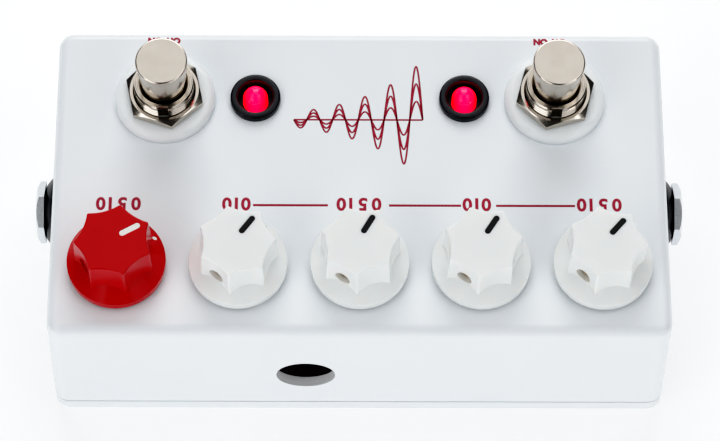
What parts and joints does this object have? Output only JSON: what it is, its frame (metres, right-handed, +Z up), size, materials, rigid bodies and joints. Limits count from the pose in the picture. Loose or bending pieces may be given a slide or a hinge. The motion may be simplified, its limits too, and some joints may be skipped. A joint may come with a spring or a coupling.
{
  "type": "delay pedal",
  "caption": "Guitar delay pedal: a die-cast box with a row of fluted skirted knobs, spring-return footswitches, lit lamp bezels, an audio jack in each end wall and a power socket.",
  "frame": {"origin": "middle of the lid's underside, on the surface that the pedal stands on", "axes": "+Z up out of the control panel, +X along the long side with the differently coloured knob at -X, the power socket in the -Y wall and the footswitches at +Y"},
  "size_m": [0.13, 0.066, 0.0555],
  "materials": {
    "powder_coat": "white powder coat with a fine orange-peel texture",
    "screw_steel": "zinc-plated steel",
    "red_plastic": "glossy red moulded plastic",
    "white_plastic": "glossy warm white moulded plastic",
    "white_fill": "white paint fill",
    "black_fill": "black paint fill",
    "brass": "turned brass",
    "shaft_metal": "turned aluminium",
    "pot_steel": "plated pressed steel",
    "nickel": "bright nickel plate",
    "spring_steel": "spring wire",
    "switch_plastic": "blue moulded plastic",
    "nylon": "milky translucent nylon",
    "black_plastic": "black moulded plastic",
    "led_lens": "lit red epoxy lens",
    "circuit_board": "green solder mask on glass fibre board",
    "ribbon_grey": "grey ribbon insulation",
    "chip_epoxy": "black epoxy with tinned legs",
    "sleeve_blue": "dark shrink sleeve",
    "film_red": "dipped red resin",
    "resistor_tan": "tan lacquer"
  },
  "bodies": {
    "pedal": {"enclosure": "powder_coat", "bottom_lid": "powder_coat", "lid_screws": "screw_steel", "pot_nuts": "nickel", "pot_washers": "pot_steel", "spring_left": "spring_steel", "spring_right": "spring_steel", "switch_bush_left": "nickel", "switch_bush_right": "nickel", "switch_body_left": "switch_plastic", "switch_body_right": "switch_plastic", "switch_nuts": "nickel", "nylon_washers": "nylon", "switch_lugs": "nickel", "led_bezels": "black_plastic", "leds": "led_lens", "jack_bushes": "nickel", "jack_washers": "black_plastic", "jack_nuts": "nickel", "jack_bodies": "black_plastic", "jack_contacts": "brass", "dc_socket_body": "black_plastic", "dc_socket_pin": "nickel", "main_board": "circuit_board", "switch_board": "circuit_board", "ribbon_cable": "ribbon_grey", "delay_chip": "chip_epoxy", "op_amp_chips": "chip_epoxy", "voltage_regulator": "chip_epoxy", "electrolytic_capacitors": "sleeve_blue", "film_capacitors": "film_red", "resistors": "resistor_tan", "pot_case_1": "pot_steel", "pot_case_2": "pot_steel", "pot_case_3": "pot_steel", "pot_case_4": "pot_steel", "pot_case_5": "pot_steel"},
    "control_1": {"knob_1": "red_plastic", "pointer_1": "white_fill", "insert_1": "brass", "shaft_1": "shaft_metal"},
    "control_2": {"knob_2": "white_plastic", "pointer_2": "black_fill", "insert_2": "brass", "shaft_2": "shaft_metal"},
    "control_3": {"knob_3": "white_plastic", "pointer_3": "black_fill", "insert_3": "brass", "shaft_3": "shaft_metal"},
    "control_4": {"knob_4": "white_plastic", "pointer_4": "black_fill", "insert_4": "brass", "shaft_4": "shaft_metal"},
    "control_5": {"knob_5": "white_plastic", "pointer_5": "black_fill", "insert_5": "brass", "shaft_5": "shaft_metal"},
    "footswitch_left": {"plunger_left": "nickel"},
    "footswitch_right": {"plunger_right": "nickel"}
  },
  "joints": [
    {"name": "knob_1_turn", "type": "hinge", "parent": "pedal", "child": "control_1", "pos_m": [-0.0472, -0.0188, 0.0393], "axis": [0, 0, -1], "range_deg": [-24, 276]},
    {"name": "knob_2_turn", "type": "hinge", "parent": "pedal", "child": "control_2", "pos_m": [-0.0236, -0.0188, 0.0393], "axis": [0, 0, -1], "range_deg": [0, 300]},
    {"name": "knob_3_turn", "type": "hinge", "parent": "pedal", "child": "control_3", "pos_m": [0, -0.0188, 0.0393], "axis": [0, 0, -1], "range_deg": [0, 300]},
    {"name": "knob_4_turn", "type": "hinge", "parent": "pedal", "child": "control_4", "pos_m": [0.0236, -0.0188, 0.0393], "axis": [0, 0, -1], "range_deg": [0, 300]},
    {"name": "knob_5_turn", "type": "hinge", "parent": "pedal", "child": "control_5", "pos_m": [0.0472, -0.0188, 0.0393], "axis": [0, 0, -1], "range_deg": [0, 300]},
    {"name": "footswitch_left_press", "type": "slide", "parent": "pedal", "child": "footswitch_left", "axis": [0, 0, -1], "range_m": [0, 0.0035], "stiffness_N_per_m": 3000, "springref_m": -0.004, "deforming": ["spring_left"]},
    {"name": "footswitch_right_press", "type": "slide", "parent": "pedal", "child": "footswitch_right", "axis": [0, 0, -1], "range_m": [0, 0.0035], "stiffness_N_per_m": 3000, "springref_m": -0.004, "deforming": ["spring_right"]}
  ]
}
